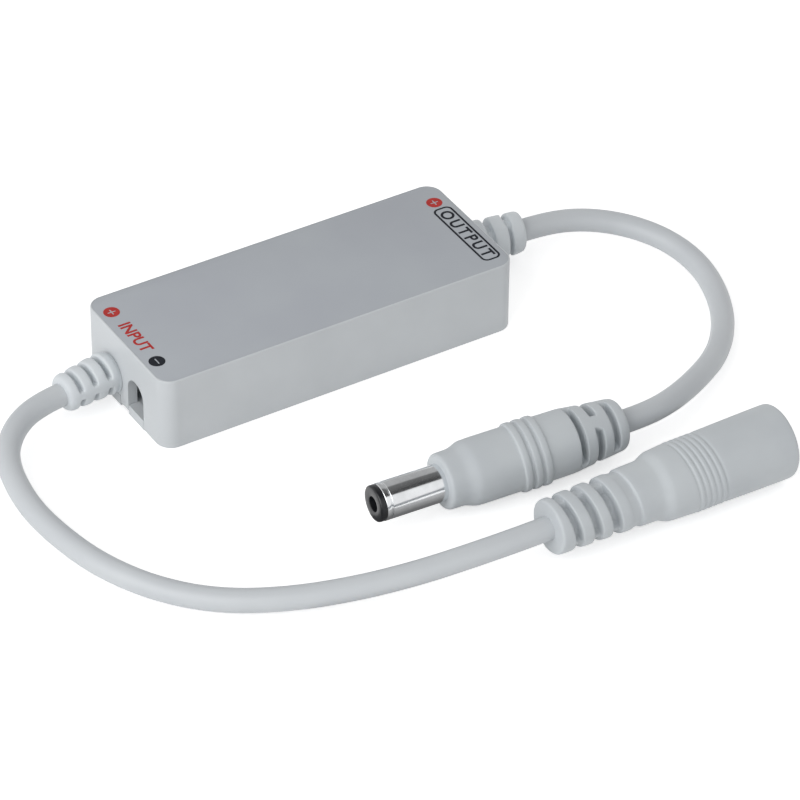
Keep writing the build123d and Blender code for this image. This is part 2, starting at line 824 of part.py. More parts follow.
export_step(jack_spring_contact.part, "parts/jack_spring_contact.step")
plug_body.part.label = "plug_body"
export_step(plug_body.part, "parts/plug_body.step")
plug_barrel.part.label = "plug_barrel"
export_step(plug_barrel.part, "parts/plug_barrel.step")
plug_tip_insulator.part.label = "plug_tip_insulator"
export_step(plug_tip_insulator.part, "parts/plug_tip_insulator.step")
plug_centre_contact.part.label = "plug_centre_contact"
export_step(plug_centre_contact.part, "parts/plug_centre_contact.step")
circuit_board.part.label = "circuit_board"
export_step(circuit_board.part, "parts/circuit_board.step")
wifi_module_board.part.label = "wifi_module_board"
export_step(wifi_module_board.part, "parts/wifi_module_board.step")
wifi_shield_can.part.label = "wifi_shield_can"
export_step(wifi_shield_can.part, "parts/wifi_shield_can.step")
power_transistor.part.label = "power_transistor"
export_step(power_transistor.part, "parts/power_transistor.step")
smoothing_capacitor.part.label = "smoothing_capacitor"
export_step(smoothing_capacitor.part, "parts/smoothing_capacitor.step")
buck_inductor.part.label = "buck_inductor"
export_step(buck_inductor.part, "parts/buck_inductor.step")
schottky_diode.part.label = "schottky_diode"
export_step(schottky_diode.part, "parts/schottky_diode.step")
voltage_regulator.part.label = "voltage_regulator"
export_step(voltage_regulator.part, "parts/voltage_regulator.step")
input_chip_capacitor.part.label = "input_chip_capacitor"
export_step(input_chip_capacitor.part, "parts/input_chip_capacitor.step")
radio_chip_capacitor.part.label = "radio_chip_capacitor"
export_step(radio_chip_capacitor.part, "parts/radio_chip_capacitor.step")
pull_down_resistor.part.label = "pull_down_resistor"
export_step(pull_down_resistor.part, "parts/pull_down_resistor.step")
gate_resistor.part.label = "gate_resistor"
export_step(gate_resistor.part, "parts/gate_resistor.step")
input_positive_wire.part.label = "input_positive_wire"
export_step(input_positive_wire.part, "parts/input_positive_wire.step")
input_negative_wire.part.label = "input_negative_wire"
export_step(input_negative_wire.part, "parts/input_negative_wire.step")
output_positive_wire.part.label = "output_positive_wire"
export_step(output_positive_wire.part, "parts/output_positive_wire.step")
output_negative_wire.part.label = "output_negative_wire"
export_step(output_negative_wire.part, "parts/output_negative_wire.step")
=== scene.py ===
import math

import bmesh
import bpy
from mathutils import Matrix, Vector


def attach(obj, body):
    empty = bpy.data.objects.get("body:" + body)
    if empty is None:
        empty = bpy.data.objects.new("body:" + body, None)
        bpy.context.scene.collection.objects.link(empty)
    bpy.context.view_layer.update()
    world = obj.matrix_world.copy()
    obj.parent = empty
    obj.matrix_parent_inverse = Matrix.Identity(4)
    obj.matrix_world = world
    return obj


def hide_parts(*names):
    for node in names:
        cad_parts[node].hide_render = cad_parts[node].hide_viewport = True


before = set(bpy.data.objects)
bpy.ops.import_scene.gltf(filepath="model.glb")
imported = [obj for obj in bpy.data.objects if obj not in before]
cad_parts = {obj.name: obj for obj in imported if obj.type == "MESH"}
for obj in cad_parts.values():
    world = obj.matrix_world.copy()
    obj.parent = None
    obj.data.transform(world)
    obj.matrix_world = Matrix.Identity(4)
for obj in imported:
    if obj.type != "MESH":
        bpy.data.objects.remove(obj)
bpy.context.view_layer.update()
print("frame loaded:", len(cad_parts), "nodes")

# Sizes are in millimetres where no note says metres, and pieces are scaled when they are put in place
mm = 0.001
hair = 0.0001  # corners of one ring lie closer than this along X
seam = 0.001  # corners closer than this are merged
nearby = 0.01  # an edge or a face this close to a level belongs to it
flatShare = 0.99  # the least share of Z in the normal of a flat face
slotDraft = 0.9  # a slot's floor is this much of its mouth's width
rounding = 0.3  # a rounded edge passes this far from its corner, as a share of its width
crease = {"box": 35, "moulded": 50}  # degrees past which an edge stays sharp


# Selecting, cutting and placing
def clearSelection():
    if bpy.context.object and bpy.context.object.mode != "OBJECT":
        bpy.ops.object.mode_set(mode="OBJECT")
    bpy.ops.object.select_all(action="DESELECT")


def selectOnly(piece):
    clearSelection()
    piece.select_set(True)
    bpy.context.view_layer.objects.active = piece


def editOnly(piece):
    selectOnly(piece)
    bpy.ops.object.mode_set(mode="EDIT")


def pick(piece, kind, test):  # selects the vertices, edges or faces that pass the test
    bpy.ops.mesh.select_mode(type=kind)
    bpy.ops.mesh.select_all(action="DESELECT")
    shape = bmesh.from_edit_mesh(piece.data)
    for part in {"VERT": shape.verts, "EDGE": shape.edges, "FACE": shape.faces}[kind]:
        if test(part):
            part.select_set(True)
    shape.select_flush_mode()
    bmesh.update_edit_mesh(piece.data)


def applyModifier(piece, kind, **settings):
    selectOnly(piece)
    modifier = piece.modifiers.new(kind.lower(), kind)
    for key, value in settings.items():
        setattr(modifier, key, value)
    bpy.ops.object.modifier_apply(modifier=modifier.name)


def cutAway(piece, cutter):
    applyModifier(piece, "BOOLEAN", operation="DIFFERENCE", solver="EXACT", object=cutter)
    bpy.data.objects.remove(cutter)


def uniteWith(piece, other):
    applyModifier(piece, "BOOLEAN", operation="UNION", solver="EXACT", object=other)
    bpy.data.objects.remove(other)


def soften(piece):
    applyModifier(piece, "SUBSURF", levels=1, render_levels=1)


def putInPlace(piece, name, start=(0, 0, 0), heading=0.0):  # to metres, with +X turned to the heading
    selectOnly(piece)
    piece.scale = (mm, mm, mm)
    piece.rotation_euler = (0, 0, math.radians(heading))
    piece.location = Vector(start) * mm
    bpy.ops.object.transform_apply()
    piece.name = name
    piece.data.name = name


def smoothShade(piece, angle):
    selectOnly(piece)
    bpy.ops.object.shade_smooth_by_angle(angle=math.radians(angle), keep_sharp_edges=False)


def finishPiece(piece, material, nodes=()):
    piece.data.materials.clear()
    piece.data.materials.append(material)
    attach(piece, "root")
    if nodes:
        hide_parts(*nodes)


# Turned shapes: an outline is a list of places along +X, each with its radius
def turn(name, outline, sides):  # a disc extruded and resized from ring to ring
    clearSelection()
    startAt, startRadius = outline[0]
    bpy.ops.mesh.primitive_circle_add(
        vertices=sides, radius=startRadius, fill_type="NGON",
        location=(startAt, 0, 0), rotation=(0, math.pi / 2, 0),
    )
    piece = bpy.context.object
    piece.name = name
    bpy.ops.object.transform_apply()
    bpy.ops.object.mode_set(mode="EDIT")
    bpy.ops.mesh.select_mode(type="FACE")
    bpy.ops.mesh.select_all(action="SELECT")
    for (fromAt, fromRadius), (toAt, toRadius) in zip(outline, outline[1:]):
        bpy.ops.mesh.extrude_region_move(TRANSFORM_OT_translate={"value": (toAt - fromAt, 0, 0)})
        share = toRadius / fromRadius
        bpy.ops.transform.resize(value=(1, share, share), center_override=(toAt, 0, 0))
    bpy.ops.mesh.select_all(action="SELECT")
    bpy.ops.mesh.normals_make_consistent(inside=False)
    bpy.ops.object.mode_set(mode="OBJECT")
    return piece


def turnTube(name, outline, sides):  # the outline closes on itself: the end discs go, the seam is merged
    piece = turn(name, outline, sides)
    editOnly(piece)
    pick(piece, "FACE", lambda f: len(f.verts) > 4)
    bpy.ops.mesh.delete(type="FACE")
    bpy.ops.mesh.select_all(action="SELECT")
    bpy.ops.mesh.remove_doubles(threshold=seam)
    bpy.ops.mesh.normals_make_consistent(inside=False)
    bpy.ops.object.mode_set(mode="OBJECT")
    return piece


def roundCorner(start, corner, end, steps=4):  # a soft bend from start to end, drawn towards the corner
    bend = []
    for step in range(steps + 1):
        t = step / steps
        shares = ((1 - t) ** 2, 2 * t * (1 - t), t ** 2)
        along, radius = (sum(s * p[i] for s, p in zip(shares, (start, corner, end))) for i in (0, 1))
        bend.append((along, radius))
    return bend


def swell(start, end, steps=5):  # an even rise from one radius to another, level at both ends
    rise = []
    for step in range(steps + 1):
        t = step / steps
        grown = t * t * (3 - 2 * t)
        rise.append((start[0] + (end[0] - start[0]) * t, start[1] + (end[1] - start[1]) * grown))
    return rise


def ringRow(part):  # the outline of a row of equal rings
    return [
        (at + along, part["ringBase"] + height * part["ringHeight"])
        for at in part["rings"] for along, height in part["ringProfile"]
    ]


def radiusAt(outline, along):
    for (fromAt, fromRadius), (toAt, toRadius) in zip(outline, outline[1:]):
        if fromAt <= along <= toAt and toAt > fromAt:
            return fromRadius + (toRadius - fromRadius) * (along - fromAt) / (toAt - fromAt)


def radiusOf(vertex):
    return Vector(vertex.co.yz).length


def onRing(vertex, along):
    return abs(vertex.co.x - along) < hair


# Slots: web is the bridge's turn in degrees, sink its depth below the rim, flare its spread along X
def slotRings(slot, outline):  # the rings of one slot: where each lies and the radius that it sinks to
    half, edge, fillet = slot["width"] / 2, slot["edge"], slot["fillet"]
    floor = slotDraft * half
    rings = []
    for side in (-1, 1):
        rim = radiusAt(outline, slot["at"] + side * (half + edge))
        wall = [
            (half + edge, rim),
            (half + rounding * edge, rim - rounding * edge),
            (half, rim - edge),
            (floor, slot["core"] + fillet),
            (floor - fillet, slot["core"]),
        ]
        rings += [(slot["at"] + side * away, radius) for away, radius in wall]
    return sorted(rings)


def turnSlotted(name, outline, slots, sides):  # a turned piece with slots, each bridged by a web
    sunk = [(along, radius, slot) for slot in slots for along, radius in slotRings(slot, outline)]
    for along, radius, slot in sunk:
        place = next(i for i, ring in enumerate(outline) if ring[0] > along)
        outline = outline[:place] + [(along, radiusAt(outline, along))] + outline[place:]
    piece = turn(name, outline, sides)
    editOnly(piece)
    for along, radius, slot in sunk:
        across = Vector((0, -math.sin(math.radians(slot["web"])), math.cos(math.radians(slot["web"]))))
        halfWeb = slot["webWidth"] / 2
        rim = radiusAt(outline, along)
        sunkShare = radius / rim
        webShare = max(radius, rim - slot["sink"]) / rim
        pick(piece, "VERT", lambda v: onRing(v, along) and abs(v.co.dot(across)) > halfWeb)
        bpy.ops.transform.resize(value=(1, sunkShare, sunkShare), center_override=(along, 0, 0))
        pick(piece, "VERT", lambda v: (
            onRing(v, along) and radiusOf(v) > rim - hair and abs(v.co.dot(across)) * webShare <= halfWeb
        ))
        spread = (slot["flare"], webShare, webShare)
        bpy.ops.transform.resize(value=spread, center_override=(slot["at"], 0, 0))
    bpy.ops.object.mode_set(mode="OBJECT")
    return piece


def leanStations(piece, lean):  # some rings lean, outside the skin radius: each turns about its own middle
    stations = {}
    for v in piece.data.vertices:
        if lean["from"] < v.co.x < lean["to"] and radiusOf(v) > lean["skin"]:
            stations.setdefault(round(v.co.x, 3), set()).add(v.index)  # one group per micrometre
    tilt, swing = math.radians(lean["tilt"]), math.radians(lean["swing"])
    stretch = (1, 1 / math.cos(swing), 1 / math.cos(tilt))
    editOnly(piece)
    for at, group in stations.items():
        pick(piece, "VERT", lambda v: v.index in group)
        bpy.ops.transform.rotate(value=tilt, orient_axis="Y", center_override=(at, 0, 0))
        bpy.ops.transform.rotate(value=swing, orient_axis="Z", center_override=(at, 0, 0))
        bpy.ops.transform.resize(value=stretch, center_override=(at, 0, 0))
    bpy.ops.object.mode_set(mode="OBJECT")


# Materials, with noise and bumps in metres
pattern = {"cloudDetail": 3, "grainDetail": 2, "cloudLow": 0.3, "cloudHigh": 0.7, "ior": 1.5}


def startMaterial(name):
    material = bpy.data.materials.new(name)
    material.use_nodes = True
    tree = material.node_tree
    shader = tree.nodes["Principled BSDF"]
    place = tree.nodes.new("ShaderNodeTexCoord")
    return material, tree, shader, place


def addNoise(tree, place, scale, detail, stretch=None):
    noise = tree.nodes.new("ShaderNodeTexNoise")
    noise.inputs["Scale"].default_value = scale
    noise.inputs["Detail"].default_value = detail
    source = place.outputs["Object"]
    if stretch:
        mapping = tree.nodes.new("ShaderNodeMapping")
        mapping.inputs["Scale"].default_value = stretch
        tree.links.new(source, mapping.inputs["Vector"])
        source = mapping.outputs["Vector"]
    tree.links.new(source, noise.inputs["Vector"])
    return noise


def addRamp(tree, source, low, high, dark, light):
    ramp = tree.nodes.new("ShaderNodeValToRGB")
    ramp.color_ramp.elements[0].position = low
    ramp.color_ramp.elements[1].position = high
    ramp.color_ramp.elements[0].color = (*dark, 1)
    ramp.color_ramp.elements[1].color = (*light, 1)
    tree.links.new(source, ramp.inputs["Fac"])
    return ramp


def addRange(tree, source, low, high):
    spread = tree.nodes.new("ShaderNodeMapRange")
    spread.inputs["To Min"].default_value = low
    spread.inputs["To Max"].default_value = high
    tree.links.new(source, spread.inputs["Value"])
    return spread


def addBump(tree, shader, source, strength, height):
    bump = tree.nodes.new("ShaderNodeBump")
    bump.inputs["Strength"].default_value = strength
    bump.inputs["Distance"].default_value = height
    tree.links.new(source, bump.inputs["Height"])
    tree.links.new(bump.outputs["Normal"], shader.inputs["Normal"])


def linear(*levels):  # 0 to 255 screen levels to the shader's own colour values
    offset, power = 0.055, 2.4  # of the screen's curve, above its few darkest levels
    return tuple(((v / 255 + offset) / (1 + offset)) ** power for v in levels)


def addClouds(tree, shader, place, finish):  # faint drifts between the two colours of a finish
    clouds = addNoise(tree, place, finish["cloudScale"], pattern["cloudDetail"])
    dark, light = linear(*finish["dark"]), linear(*finish["light"])
    ramp = addRamp(tree, clouds.outputs["Fac"], pattern["cloudLow"], pattern["cloudHigh"], dark, light)
    tree.links.new(ramp.outputs["Color"], shader.inputs["Base Color"])


def addGrain(tree, shader, grain, finish, height):  # one noise for the gloss and the bumps
    gloss = addRange(tree, grain.outputs["Fac"], *finish["gloss"])
    tree.links.new(gloss.outputs["Result"], shader.inputs["Roughness"])
    addBump(tree, shader, grain.outputs["Fac"], finish["bump"], height)


def mouldedMaterial(finish):
    material, tree, shader, place = startMaterial(finish["name"])
    addClouds(tree, shader, place, finish)
    grain = addNoise(tree, place, finish["grainScale"], pattern["grainDetail"])
    addGrain(tree, shader, grain, finish, finish["grainHeight"])
    shader.inputs["IOR"].default_value = pattern["ior"]
    shader.inputs["Specular IOR Level"].default_value = finish["specular"]
    return material


def metalMaterial(finish):
    material, tree, shader, place = startMaterial(finish["name"])
    shader.inputs["Metallic"].default_value = 1
    addClouds(tree, shader, place, finish)
    lines = addNoise(tree, place, finish["lineScale"], pattern["grainDetail"], finish["stretch"])
    addGrain(tree, shader, lines, finish, finish["lineHeight"])
    return material


caseFinish = {
    "name": "casePlastic", "dark": (196, 200, 203), "light": (202, 206, 209), "cloudScale": 90,
    "grainScale": 5200, "grainHeight": 0.00002, "bump": 0.12, "gloss": (0.38, 0.5), "specular": 0.4,
}
labelFinish = {
    "name": "labelFilm", "dark": (169, 173, 180), "light": (175, 180, 185), "cloudScale": 60,
    "grainScale": 3800, "grainHeight": 0.000012, "bump": 0.08, "gloss": (0.36, 0.46), "specular": 0.4,
}
vinylFinish = {
    "name": "softVinyl", "dark": (190, 195, 199), "light": (196, 201, 204), "cloudScale": 120,
    "grainScale": 3200, "grainHeight": 0.00002, "bump": 0.1, "gloss": (0.4, 0.52), "specular": 0.4,
}
bootFinish = dict(vinylFinish, name="bootVinyl", dark=(207, 212, 216), light=(213, 218, 221))
jacketFinish = {
    "name": "cableJacket", "dark": (193, 197, 201), "light": (199, 203, 206), "cloudScale": 100,
    "grainScale": 2600, "grainHeight": 0.00002, "bump": 0.1, "gloss": (0.36, 0.48), "specular": 0.45,
}
insulatorFinish = {
    "name": "blackInsulator", "dark": (20, 22, 25), "light": (31, 33, 37), "cloudScale": 700,
    "grainScale": 4200, "grainHeight": 0.00002, "bump": 0.15, "gloss": (0.26, 0.38), "specular": 0.5,
}
laminateFinish = {
    "name": "boardLaminate", "dark": (18, 62, 38), "light": (30, 82, 50), "cloudScale": 420,
    "grainScale": 3000, "grainHeight": 0.00002, "bump": 0.1, "gloss": (0.3, 0.45), "specular": 0.5,
}
epoxyFinish = {
    "name": "chipEpoxy", "dark": (28, 28, 30), "light": (42, 42, 45), "cloudScale": 900,
    "grainScale": 5200, "grainHeight": 0.00002, "bump": 0.2, "gloss": (0.5, 0.7), "specular": 0.4,
}
ferriteFinish = {
    "name": "ferriteGrey", "dark": (50, 51, 54), "light": (70, 71, 75), "cloudScale": 1200,
    "grainScale": 4000, "grainHeight": 0.00003, "bump": 0.25, "gloss": (0.55, 0.75), "specular": 0.4,
}
ceramicFinish = {
    "name": "chipCeramic", "dark": (140, 108, 72), "light": (164, 130, 92), "cloudScale": 1500,
    "grainScale": 4000, "grainHeight": 0.00002, "bump": 0.15, "gloss": (0.4, 0.55), "specular": 0.5,
}
redWireFinish = {
    "name": "redInsulation", "dark": (160, 24, 22), "light": (184, 34, 30), "cloudScale": 600,
    "grainScale": 3600, "grainHeight": 0.00002, "bump": 0.1, "gloss": (0.35, 0.5), "specular": 0.5,
}
blackWireFinish = {
    "name": "blackInsulation", "dark": (26, 26, 28), "light": (40, 40, 43), "cloudScale": 600,
    "grainScale": 3600, "grainHeight": 0.00002, "bump": 0.1, "gloss": (0.35, 0.5), "specular": 0.5,
}
redInkFinish = {
    "name": "redInk", "dark": (174, 40, 35), "light": (186, 50, 44), "cloudScale": 900,
    "grainScale": 5000, "grainHeight": 0.000008, "bump": 0.08, "gloss": (0.4, 0.5), "specular": 0.25,
}
blackInkFinish = {
    "name": "blackInk", "dark": (26, 29, 36), "light": (34, 38, 46), "cloudScale": 900,
    "grainScale": 5000, "grainHeight": 0.000008, "bump": 0.08, "gloss": (0.4, 0.5), "specular": 0.15,
}
nickelFinish = {
    "name": "nickelPlate", "dark": (222, 224, 226), "light": (234, 236, 238), "cloudScale": 500,
    "lineScale": 900, "stretch": (9, 1, 1), "lineHeight": 0.00001, "bump": 0.06, "gloss": (0.12, 0.2),
}
brassFinish = {
    "name": "springBrass", "dark": (186, 152, 84), "light": (208, 176, 106), "cloudScale": 600,
    "lineScale": 900, "stretch": (1, 6, 1), "lineHeight": 0.00001, "bump": 0.06, "gloss": (0.22, 0.34),
}
canFinish = {
    "name": "canSteel", "dark": (176, 178, 180), "light": (196, 198, 200), "cloudScale": 300,
    "lineScale": 700, "stretch": (1, 12, 1), "lineHeight": 0.00001, "bump": 0.1, "gloss": (0.28, 0.42),
}
aluminiumFinish = {
    "name": "capacitorCan", "dark": (198, 200, 202), "light": (214, 216, 218), "cloudScale": 400,
    "lineScale": 700, "stretch": (1, 1, 10), "lineHeight": 0.00001, "bump": 0.08, "gloss": (0.25, 0.36),
}

casePlastic = mouldedMaterial(caseFinish)
labelFilm = mouldedMaterial(labelFinish)
softVinyl = mouldedMaterial(vinylFinish)
bootVinyl = mouldedMaterial(bootFinish)
cableJacket = mouldedMaterial(jacketFinish)
blackInsulator = mouldedMaterial(insulatorFinish)
boardLaminate = mouldedMaterial(laminateFinish)
chipEpoxy = mouldedMaterial(epoxyFinish)
ferriteGrey = mouldedMaterial(ferriteFinish)
chipCeramic = mouldedMaterial(ceramicFinish)
redInsulation = mouldedMaterial(redWireFinish)
blackInsulation = mouldedMaterial(blackWireFinish)
redInk = mouldedMaterial(redInkFinish)
blackInk = mouldedMaterial(blackInkFinish)
nickelPlate = metalMaterial(nickelFinish)
springBrass = metalMaterial(brassFinish)
canSteel = metalMaterial(canFinish)
capacitorCan = metalMaterial(aluminiumFinish)

nodeFinishes = {
    "base_cover": casePlastic,
    "jack_insert": blackInsulator,
    "jack_centre_pin": nickelPlate,
    "jack_spring_contact": springBrass,
    "plug_centre_contact": springBrass,
    "circuit_board": boardLaminate,
    "wifi_module_board": boardLaminate,
    "wifi_shield_can": canSteel,
    "power_transistor": chipEpoxy,
    "smoothing_capacitor": capacitorCan,
    "buck_inductor": ferriteGrey,
    "schottky_diode": chipEpoxy,
    "voltage_regulator": chipEpoxy,
    "input_chip_capacitor": chipCeramic,
    "radio_chip_capacitor": chipCeramic,
    "pull_down_resistor": chipEpoxy,
    "gate_resistor": chipEpoxy,
    "input_positive_wire": redInsulation,
    "input_negative_wire": blackInsulation,
    "output_positive_wire": redInsulation,
    "output_negative_wire": blackInsulation,
}
for node, material in nodeFinishes.items():
    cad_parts[node].data.materials.clear()
    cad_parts[node].data.materials.append(material)
print("materials made:", len(bpy.data.materials))

# Camera, with its clipping in metres
view = {
    "azimuth": -31.65, "elevation": 37.55, "roll": 0.63, "distance": 706.18,
    "target": (8.39, -13.98, -3.85), "lens": 217.96, "sensor": 36, "near": 0.01, "far": 20,
}
turnRound = Matrix.Rotation(math.radians(view["azimuth"]), 3, "Z")
tiltUp = Matrix.Rotation(math.radians(90 - view["elevation"]), 3, "X")
rollOver = Matrix.Rotation(math.radians(view["roll"]), 3, "Z")
aim = turnRound @ tiltUp @ rollOver
clearSelection()
bpy.ops.object.camera_add()
camera = bpy.context.object
camera.name = "photoCamera"
camera.rotation_euler = aim.to_euler()
camera.location = (Vector(view["target"]) + aim @ Vector((0, 0, view["distance"]))) * mm
camera.data.sensor_width = view["sensor"]
camera.data.lens = view["lens"]
camera.data.clip_start = view["near"]
camera.data.clip_end = view["far"]
bpy.context.scene.camera = camera
print("camera placed")

# Leads, in metres
cordMesh = {"order": 3, "steps": 16, "roundness": 10}


def layCord(cord):
    curve = bpy.data.curves.new(cord["name"], "CURVE")
    curve.dimensions = "3D"
    spline = curve.splines.new("NURBS")
    spline.points.add(len(cord["points"]) - 1)
    for point, (x, y, z) in zip(spline.points, cord["points"]):
        point.co = (x, y, z, 1)
    spline.order_u = cordMesh["order"]
    spline.use_endpoint_u = True
    spline.use_smooth = True
    curve.resolution_u = cordMesh["steps"]
    curve.bevel_depth = cord["diameter"] / 2
    curve.bevel_resolution = cordMesh["roundness"]
    curve.use_fill_caps = True
    piece = bpy.data.objects.new(cord["name"], curve)
    bpy.context.scene.collection.objects.link(piece)
    return piece


inputLead = {
    "name": "inputLead", "diameter": 0.0035, "length": 0.1075,
    "points": [
        (-0.038248, 0.002553, 0.0045), (-0.042814, 0.001992, 0.0045), (-0.0478, -0.0006, 0.004),
        (-0.0516, -0.0055, 0.0032), (-0.053, -0.0143, 0.0022), (-0.0522, -0.0225, 0.00175),
        (-0.0503, -0.0312, 0.00175), (-0.0462, -0.0395, 0.00175), (-0.04, -0.0462, 0.00175),
        (-0.0317, -0.0512, 0.0022), (-0.0231, -0.0548, 0.0031), (-0.0148, -0.0573, 0.00415),
        (-0.007, -0.0587, 0.005), (0.0002, -0.0596, 0.0056), (0.0048, -0.0596, 0.0056),
    ],
}
outputLead = {
    "name": "outputLead", "diameter": 0.0035, "length": 0.0791,
    "points": [
        (0.039794, 0.003084, 0.0045), (0.044392, 0.002924, 0.0045), (0.0503, 0.0011, 0.00415),
        (0.0555, -0.0028, 0.0035), (0.0591, -0.0086, 0.0028), (0.0601, -0.0154, 0.0021),
        (0.0584, -0.0224, 0.00175), (0.0549, -0.0291, 0.00195), (0.0495, -0.0353, 0.00275),
        (0.0431, -0.0397, 0.00375), (0.0366, -0.043, 0.0046), (0.03064, -0.04465, 0.00515),
        (0.026046, -0.044407, 0.00515),
    ],
}
inputCord = layCord(inputLead)
outputCord = layCord(outputLead)
finishPiece(inputCord, cableJacket, ["input_cable"])
finishPiece(outputCord, cableJacket, ["output_cable"])
print("leads laid")

# Box: shell, film and print
box = {
    "length": 59.0, "width": 23.4, "height": 11.9, "corner": 2.5, "topEdge": 0.2, "footEdge": 0.2,
    "wall": 1.5, "roof": 1.5, "rim": 0.23, "filmDepth": 0.25,
    "outletRadius": 2.3, "outletHeight": 4.75, "outletY": 3.4, "postLift": 0.55,
    "cornerSteps": 12, "topSteps": 4, "footSteps": 3, "outletSides": 64, "cutDepth": 6.0, "cutFoot": -1,
}


def roundEdges(width, steps):  # of the edges that are picked
    bpy.ops.mesh.bevel(offset=width, offset_type="OFFSET", segments=steps, affect="EDGES")


def pickTopEdges(piece, top):
    pick(piece, "EDGE", lambda e: min(v.co.z for v in e.verts) > top - nearby)


def roundedBlock(name, length, width, low, high, corner):
    clearSelection()
    size = (length, width, high - low)
    bpy.ops.mesh.primitive_cube_add(size=1, location=(0, 0, (low + high) / 2), scale=size)
    piece = bpy.context.object
    piece.name = name
    bpy.ops.object.transform_apply()
    editOnly(piece)
    pick(piece, "EDGE", lambda e: abs(e.verts[0].co.z - e.verts[1].co.z) > nearby)
    roundEdges(corner, box["cornerSteps"])
    return piece


def outletCutter(end, y):  # an arch: a cylinder whose lower half is pressed down to a flat foot
    clearSelection()
    bpy.ops.mesh.primitive_cylinder_add(
        vertices=box["outletSides"], radius=box["outletRadius"], depth=box["cutDepth"],
        location=(end * box["length"] / 2, y, box["outletHeight"]), rotation=(0, math.pi / 2, 0),
    )
    cutter = bpy.context.object
    bpy.ops.object.transform_apply()
    editOnly(cutter)
    pick(cutter, "VERT", lambda v: v.co.z < box["outletHeight"] - nearby)
    bpy.ops.transform.resize(value=(1, 1, 0), center_override=(0, 0, box["cutFoot"]))
    bpy.ops.object.mode_set(mode="OBJECT")
    return cutter


shell = roundedBlock("boxShell", box["length"], box["width"], 0, box["height"], box["corner"])
pickTopEdges(shell, box["height"])
roundEdges(box["topEdge"], box["topSteps"])
pick(shell, "EDGE", lambda e: max(v.co.z for v in e.verts) < nearby)
roundEdges(box["footEdge"], box["footSteps"])
roofLevel = box["height"] - nearby
pick(shell, "FACE", lambda f: f.normal.z > flatShare and f.calc_center_median().z > roofLevel)
bpy.ops.mesh.inset(thickness=box["rim"] - box["topEdge"])
bpy.ops.mesh.extrude_region_move(TRANSFORM_OT_translate={"value": (0, 0, -box["filmDepth"])})
pick(shell, "FACE", lambda f: f.normal.z < -flatShare and f.calc_center_median().z < nearby)
bpy.ops.mesh.inset(thickness=box["wall"] - box["footEdge"])
bpy.ops.mesh.extrude_region_move(TRANSFORM_OT_translate={"value": (0, 0, box["height"] - box["roof"])})
bpy.ops.mesh.select_all(action="SELECT")
bpy.ops.mesh.normals_make_consistent(inside=False)
bpy.ops.object.mode_set(mode="OBJECT")
for end, y in ((-1, box["outletY"]), (-1, -box["outletY"]), (1, box["outletY"])):
    cutAway(shell, outletCutter(end, y))
clearSelection()
postCut = (box["cutDepth"], 2 * box["outletY"], 2 * box["postLift"])  # under the post between two outlets
bpy.ops.mesh.primitive_cube_add(size=1, location=(-box["length"] / 2, 0, 0), scale=postCut)
bpy.ops.object.transform_apply()
cutAway(shell, bpy.context.object)
putInPlace(shell, "boxShell")
smoothShade(shell, crease["box"])
finishPiece(shell, casePlastic, ["upper_housing"])
print("shell made")

film = {
    "length": 58.5, "width": 22.9, "low": 11.65, "high": 11.9, "corner": 2.25,
    "edge": 0.05, "edgeSteps": 2,
}
topFilm = roundedBlock("topFilm", film["length"], film["width"], film["low"], film["high"], film["corner"])
pickTopEdges(topFilm, film["high"])
roundEdges(film["edge"], film["edgeSteps"])
putInPlace(topFilm, "topFilm")
smoothShade(topFilm, crease["box"])
finishPiece(topFilm, labelFilm, ["top_label"])

ink = {
    "level": 11.9, "thickness": 0.015, "cutDepth": 0.06, "discRadius": 1.21, "discSides": 64,
    "armLength": 1.25, "armWidth": 0.2, "dashLength": 1.3, "dashWidth": 0.18,
    "inputPlus": (-27.3, 7.4), "inputMinus": (-27.35, -6.15), "outputPlus": (26.95, 7.05),
    "inputWord": {"word": "INPUT", "x": -28.05, "y": 0.45, "size": 2.65, "spacing": 1.0},
    "outputWord": {"word": "OUTPUT", "x": 26.02, "y": -2.05, "size": 2.72, "spacing": 1.32},
    "weight": 0.025, "letterSteps": 6, "heading": -90,
    "frameX": (25.4, 28.5), "frameY": (-9.5, 5.4), "frameCorner": 1.0, "frameSteps": 8, "frameLine": 0.32,
}


def inkDisc(name, x, y, marks, material):  # a printed dot with its sign left open
    clearSelection()
    top = ink["level"] + ink["thickness"]
    bpy.ops.mesh.primitive_cylinder_add(
        vertices=ink["discSides"], radius=ink["discRadius"], depth=ink["thickness"],
        location=(x, y, top - ink["thickness"] / 2),
    )
    disc = bpy.context.object
    bpy.ops.object.transform_apply()
    for sizeX, sizeY in marks:
        clearSelection()
        cutSize = (sizeX, sizeY, ink["cutDepth"])
        bpy.ops.mesh.primitive_cube_add(size=1, location=(x, y, top), scale=cutSize)
        bpy.ops.object.transform_apply()
        cutAway(disc, bpy.context.object)
    putInPlace(disc, name)
    finishPiece(disc, material)


def inkWord(name, material, word, x, y, size, spacing):  # reads towards the front
    clearSelection()
    bpy.ops.object.text_add(location=(0, 0, 0))
    text = bpy.context.object
    text.data.body = word
    text.data.align_x = "CENTER"
    text.data.size = size
    text.data.space_character = spacing
    text.data.offset = ink["weight"] * size
    text.data.extrude = ink["thickness"] / 2
    text.data.resolution_u = ink["letterSteps"]
    bpy.ops.object.convert(target="MESH")
    letters = bpy.context.object
    putInPlace(letters, name, (x, y, ink["level"] + ink["thickness"] / 2), ink["heading"])
    finishPiece(letters, material)


